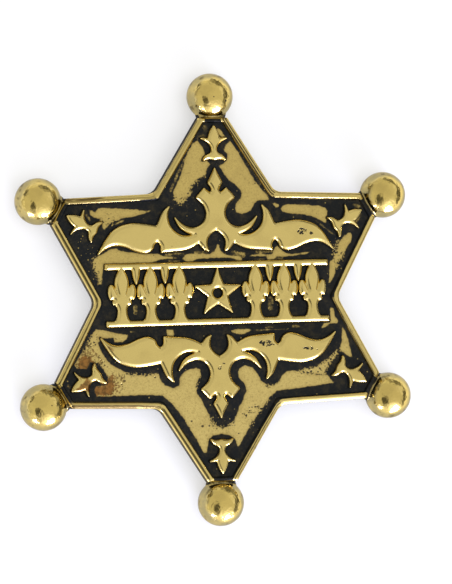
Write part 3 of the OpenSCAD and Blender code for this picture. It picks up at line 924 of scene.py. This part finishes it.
# %% Make the raised pieces
FLEUR_SHOULDER, FULL_SHOULDER = 0.7, 1.0
raised_gold = relief_material()
for name, group in sorted(raised.items()):
    shape = raised_shape(group, FLEUR_SHOULDER if name.startswith("fleur") else FULL_SHOULDER)
    chart(shape, "pitted", lambda x, y: np.clip(sum(inside(x, y, row) for row in PITTED), 0, 1))
    chart(shape, "coppered", copper_depth)
    place(shape, name, raised_gold, crisp=math.radians(80))

# %% [markdown]
# ## The balls
#
# Each ball is a polished sphere that a short collar joins to the end of its point. A boolean could join the
# two, but it leaves a sharp seam. So a sphere and a half-round bar are fused by the voxel remesh, which
# leaves the small fillet of a casting, and then every corner on the ball is set back on the true sphere, so
# its mirror image stays clean. One ball is made and turned to all six points. Only the wash round the necks
# differs from ball to ball.

# %% One ball with its collar
BALL_VOXEL = 0.13
BALL_INSET = 0.002  # keeps the ball just inside its drawn size
ON_BALL, OFF_BALL = 0.06, 0.05  # a corner this near the sphere is set on it, and one further off is smoothed
FILLET_BACK, CLEAN_BACK = 3.5, 2.2  # behind the ball's middle: the fillet's end, and the clean sphere's start
BALL_ROUNDS, FILLET_ROUNDS = 3, 6
BALL_CENTRE = Vector((BALL_REACH, 0, BALL_R))


def ball_shape():
    bm = bmesh.new()
    bmesh.ops.create_uvsphere(bm, u_segments=96, v_segments=48, radius=BALL_R)
    bmesh.ops.translate(bm, vec=BALL_CENTRE, verts=bm.verts)
    lie = Matrix.Translation((COLLAR_START + COLLAR_L / 2, 0, BACK_Z))
    lie = lie @ Matrix.Diagonal((1, 1, COLLAR_FLAT, 1)) @ Matrix.Rotation(math.radians(90), 4, "Y")
    bar = bmesh.ops.create_cone(
        bm, cap_ends=True, segments=64, radius1=COLLAR_R, radius2=COLLAR_R + COLLAR_FLARE, depth=COLLAR_L,
        matrix=lie)["verts"]
    parts = {e for v in bar for e in v.link_edges} | {f for v in bar for f in v.link_faces} | set(bar)
    cut = bmesh.ops.bisect_plane(
        bm, geom=list(parts), plane_co=(0, 0, COLLAR_LOW), plane_no=(0, 0, -1), clear_outer=True)["geom_cut"]
    bmesh.ops.holes_fill(bm, edges=[g for g in cut if isinstance(g, bmesh.types.BMEdge)])
    bm = softened(bm, BALL_VOXEL, BALL_ROUNDS)
    fillet = [v for v in bm.verts
              if (v.co - BALL_CENTRE).length > BALL_R + OFF_BALL or v.co.x < BALL_REACH - FILLET_BACK]
    for _ in range(FILLET_ROUNDS):
        bmesh.ops.smooth_vert(bm, verts=fillet, factor=0.5, use_axis_x=True, use_axis_y=True, use_axis_z=True)
    for vert in bm.verts:
        out = vert.co - BALL_CENTRE
        if out.length < BALL_R + ON_BALL or vert.co.x > BALL_REACH - CLEAN_BACK:
            vert.co = BALL_CENTRE + out.normalized() * (BALL_R - BALL_INSET)
    bm.normal_update()
    return bm


one_ball = ball_shape()
print("one ball:", len(one_ball.faces), "faces, reach", round(max(v.co.x for v in one_ball.verts), 2))

# %% Polish and grime of the balls, with painted shade on their lower ring
def ball_material():
    material = bpy.data.materials.new("ball_gold")
    paint = Paint(material)
    where = paint.place_mm()
    height = paint.part(where, "Z")
    near = paint.attribute("near_collar")
    grime = paint.noise(where, 0.7, 3.0)
    blotchy = paint.noise(where, 1.5, 3.0, 0.6)
    freckles = paint.spots(where, 2.4, 0.22, 0.2) * 0.8 + paint.spots(where, 1.1, 0.12, 0.12) * 0.6
    # painted shade: below a wavy height each ball's gold turns grey and gets blotches of film, which darkens
    # the bright floor that its lower ring mirrors
    lower_ring_shade = 1 - (height + (blotchy - 0.5) * 1.4).step(BALL_R + 2.0, BALL_R + 3.1)
    smudged = paint.noise(where, 2.6, 3.0, 0.6)
    ring_shade_blotches = lower_ring_shade * blotchy.step(0.5, 0.68) * 0.42
    wash = (near * 0.75 + (grime - 0.5) * 0.9 + (blotchy - 0.5) * 0.7).step(0.42, 0.72)
    wash = wash.larger(freckles).larger(ring_shade_blotches)
    dull = paint.noise(where, 3.0, 2.0).step(0.4, 0.85) * 0.3 + near.step(0.0, 0.4) * 0.5
    dents = paint.noise(where, 1.6, 3.0, 0.5) * 0.19 + near * paint.noise(where, 0.5, 2.0) * 0.12
    gold = paint.mix(lower_ring_shade * (smudged.step(0.32, 0.62) * 0.4 + 0.6), GOLD_DEEP, GOLD_RING_SHADE)
    washed(paint, where, wash, dull.smaller(1.0), 0.08, dents, gold=gold)
    return material


ball_gold = ball_material()
print("nodes in the ball's gold:", len(ball_gold.node_tree.nodes))

# %% Turn a ball to each point
NECK_H, NECK_ASIDE = 1.5, 2.2  # below and beyond these the neck is full of wash


def store_neck_wash(bm, share):
    """Stores where wash lies round the neck: full on its sides and underside, and a share of it on top."""
    layer = bm.verts.layers.float.new("near_collar")
    for vert in bm.verts:
        off = min(1, max(0, (vert.co - BALL_CENTRE).length - BALL_R - 0.02) / 0.14)
        low = min(1, max(0, BACK_Z + NECK_H - vert.co.z) / 0.5)
        aside = min(1, max(0, abs(vert.co.y) - NECK_ASIDE) / 0.4)
        vert[layer] = off * max(low, aside, share)


for k in range(POINTS):
    shape = one_ball.copy()
    store_neck_wash(shape, NECK_WASH[k])
    bmesh.ops.rotate(shape, matrix=Matrix.Rotation((2 * k + 1) * HALF_STEP, 3, "Z"), verts=shape.verts)
    place(shape, f"ball_{k + 1}", ball_gold, crisp=math.radians(80))

# %% [markdown]
# ## The bar pin
#
# Behind the plate a plain bar pin of plated steel is soldered on. It could be modelled anew with bevelled
# edges, but nothing on it is rounder than its CAD shape has it. So it keeps its mesh, and only gets a satin
# finish with fine brush marks along the strip.

# %% Satin steel for the bar pin
PIN_STEEL, PIN_SMUDGE = (0.5, 0.49, 0.465, 1), (0.34, 0.325, 0.295, 1)


def pin_material():
    material = bpy.data.materials.new("pin_satin")
    paint = Paint(material)
    where = paint.place_mm()
    along = paint.node("ShaderNodeVectorMath", {"operation": "MULTIPLY"}, [where, (0.12, 3.0, 3.0)])
    brushed = paint.noise(along, 0.4, 4.0, 0.6)
    smudge = paint.noise(where, 4.0, 2.0)
    colour = paint.mix(smudge.step(0.4, 0.8), PIN_STEEL, PIN_SMUDGE)
    paint.surface({
        "Base Color": colour, "Metallic": 1.0, "Roughness": 0.24 + brushed * 0.18,
        "Normal": paint.bump(brushed * 0.006)})
    return material


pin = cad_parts["bar_pin"]
steel = pin_material()
for slot in pin.material_slots:
    slot.material = steel
print("bar pin slots:", len(pin.material_slots))

# %% [markdown]
# ## The camera
#
# The photograph looks down on the badge, a little from its left, from 447 mm away. A camera can be nudged
# by eye until the view looks right, but an error of a degree shows as soon as two pictures are laid over
# each other. So the three angles and the distance were worked out from where the balls and the corners of
# the outline lie in the picture.

# %% Camera at the photograph's angle
YAW, PITCH, ROLL = (math.radians(a) for a in (11.96, -0.24, 1.61))
DISTANCE, PIXELS_PER_MM = 447.0, 5.94
IMAGE_W, IMAGE_H, STAR_X, STAR_Y = 452, 584, 215.2, 299.7
SENSOR_W = 36
turn = Matrix.Rotation(ROLL, 3, "Z") @ Matrix.Rotation(PITCH, 3, "X") @ Matrix.Rotation(YAW, 3, "Y")
RIGHT, UP, BACK = turn
aim = Vector((0, 0, BALL_R))
aside = RIGHT * (IMAGE_W / 2 - STAR_X) - UP * (IMAGE_H / 2 - STAR_Y)
camera = bpy.data.objects.new("camera", bpy.data.cameras.new("camera"))
bpy.context.scene.collection.objects.link(camera)
camera.location = (aim + BACK * DISTANCE + aside / PIXELS_PER_MM) * MM
camera.rotation_mode = "QUATERNION"
camera.rotation_quaternion = turn.transposed().to_quaternion()
camera.data.sensor_width = SENSOR_W
camera.data.lens = PIXELS_PER_MM * DISTANCE * SENSOR_W / IMAGE_H
camera.data.clip_start, camera.data.clip_end = 0.01, 20
bpy.context.scene.camera = camera
print("camera at", [round(c, 3) for c in camera.location], "lens", round(camera.data.lens, 1))

# %% [markdown]
# ## Floor and light
#
# Polished metal has no look of its own: it shows the room. So the room is built from what the balls mirror.
# A soft tent is overhead, paler towards the horizon, with a few dark gaps in it, and two lamps of cool
# daylight stand low in front, because a yellow metal turns white light yellow and only a cooler light
# leaves its highlights white. The tent could be built from planes, but then its gaps would be hard to move.
# So the world's shader is the tent, and each row of the charts is a soft round patch in it, given by the
# place on a ball where it is seen.

# %% Which way a ball mirrors
def mirrored(x, y):
    """The direction in which a ball mirrors the room at x, y, in shares of its radius in the picture."""
    normal = RIGHT * x + UP * y + BACK * math.sqrt(1 - x * x - y * y)
    return (2 * normal.dot(BACK) * normal - BACK).normalized()


TENT = [
    # x, y on a ball, radius in degrees, softness in degrees, brightness
    (-0.1, 0.3, 30, 16, 0.56), (-0.19, -0.04, 6, 5, 0.35), (-0.18, -0.13, 12, 8, 0.13),
    (-0.16, -0.26, 14, 8, 0.07), (-0.15, -0.36, 10, 7, 0.15), (-0.13, -0.45, 7, 6, 0.4),
    (-0.54, 0.38, 17, 7, 0.13), (-0.64, 0.12, 10, 7, 0.35), (0.14, 0.66, 10, 6, 0.3),
    (0.34, 0.6, 14, 6, 0.14), (0.52, 0.48, 9, 6, 0.25), (-0.7, -0.22, 11, 6, 0.2), (-0.6, -0.42, 9, 6, 0.4),
    (0.15, -0.78, 9, 5, 0.2), (-0.12, -0.75, 10, 5, 0.22), (0.7, 0.24, 12, 6, 0.2), (0.74, 0.04, 15, 7, 0.1),
    (0.68, -0.24, 14, 7, 0.14)]
GLOWS = [
    # x, y on a ball, spread in degrees, brightness
    (0.24, -0.54, 23, 1.5), (-0.32, -0.54, 13, 1.0), (0.58, 0.1, 7, 0.3), (0.5, 0.3, 10, 0.2)]
print("patches in the tent:", len(TENT), "glows:", len(GLOWS))

# %% The tent
HORIZON_LIGHT, DARKER_ABOVE = 0.8, 0.15
HORIZON_END, TENT_START = math.radians(4), math.radians(18)
TENT_COLOUR, GLOW_COLOUR = (1, 0.995, 0.98, 1), (1, 1.04, 1.6, 1)
world = bpy.data.worlds.new("tent")
bpy.context.scene.world = world
room = Paint(world)
direction = room.node("ShaderNodeTexCoord", out=0)


def facing(x, y):
    """The cosine of the angle to the patch that is seen at x, y on a ball."""
    return room.node("ShaderNodeVectorMath", {"operation": "DOT_PRODUCT"}, [direction, mirrored(x, y)], out=1)


above = room.part(direction, "Z").step(math.sin(HORIZON_END), math.sin(TENT_START))
light = HORIZON_LIGHT - above * DARKER_ABOVE
for x, y, radius, soft, brightness in TENT:
    outer, inner = math.radians(radius + soft), math.radians(max(0.5, radius - soft))
    patch = facing(x, y).step(math.cos(outer), math.cos(inner))
    light = light * (1 - patch) + patch * brightness
glow = 0.0
for x, y, spread, brightness in GLOWS:
    glow = glow + brightness * ((facing(x, y) - 1) / (1 - math.cos(math.radians(spread)))).exponent()
light = light + glow
tint = room.mix(glow / light, TENT_COLOUR, GLOW_COLOUR)
background = room.node("ShaderNodeBackground", None, {"Color": tint, "Strength": light})
room.node("ShaderNodeOutputWorld", None, {"Surface": background})

# %% Lamps
WHITE, DAYLIGHT = (1, 1, 1), (0.62, 0.65, 1.0)


def lamp(name, direction, distance, radius, brightness, colour, seen=True):
    """A round soft lamp that faces the badge: distance and radius in metres, and brightness as radiance."""
    data = bpy.data.lights.new(name, "AREA")
    data.shape = "DISK"
    data.color = colour
    data.size = 2 * radius
    data.energy = brightness * math.pi * math.pi * radius * radius
    made = bpy.data.objects.new(name, data)
    bpy.context.scene.collection.objects.link(made)
    made.location = direction.normalized() * distance
    made.rotation_mode = "QUATERNION"
    made.rotation_quaternion = direction.to_track_quat("Z", "Y")
    made.visible_camera = False
    made.visible_glossy = seen
    print(name, "at", [round(c, 2) for c in made.location], "energy", round(data.energy, 2))


lamp("lamp_right", mirrored(0.3, -0.61), distance=0.8, radius=0.2, brightness=22.0, colour=DAYLIGHT)
lamp("lamp_left", mirrored(-0.33, -0.56), distance=0.8, radius=0.12, brightness=24.0, colour=DAYLIGHT)
lamp("overhead", Vector((0, 0, 1)), distance=0.9, radius=0.5, brightness=2.1, colour=WHITE, seen=False)

# %% Pale floor
FLOOR_PALE, FLOOR_DARK = (0.5, 0.5, 0.5, 1), (0.49, 0.49, 0.49, 1)
FLOOR_HALF, FLOOR_GLOW = 3.0, 0.47


def floor_material():
    material = bpy.data.materials.new("pale_floor")
    paint = Paint(material)
    where = paint.place_mm()
    mottled = paint.noise(where, 40.0, 2.0)
    paint.surface({
        "Base Color": paint.mix(mottled, FLOOR_PALE, FLOOR_DARK), "Roughness": 0.8, "Specular IOR Level": 0.1,
        "Emission Color": (1, 1, 1, 1), "Emission Strength": FLOOR_GLOW})
    return material


bm = bmesh.new()
bmesh.ops.create_grid(bm, x_segments=1, y_segments=1, size=FLOOR_HALF)
floor_mesh = bpy.data.meshes.new("floor")
bm.to_mesh(floor_mesh)
bm.free()
floor_mesh.materials.append(floor_material())
floor = bpy.data.objects.new("floor", floor_mesh)
bpy.context.scene.collection.objects.link(floor)
bpy.context.scene.view_settings.view_transform = "Standard"
print("floor:", 2 * FLOOR_HALF, "m wide")

# %% [markdown]
#
# Softened edges and moved corners must not make the badge larger than the solids it was drawn as. The box
# round all its pieces could be read off in the viewport. This cell only counts the triangles of all pieces.

# %% Count the triangles
print("triangles in all:", sum(made_triangles.values()))
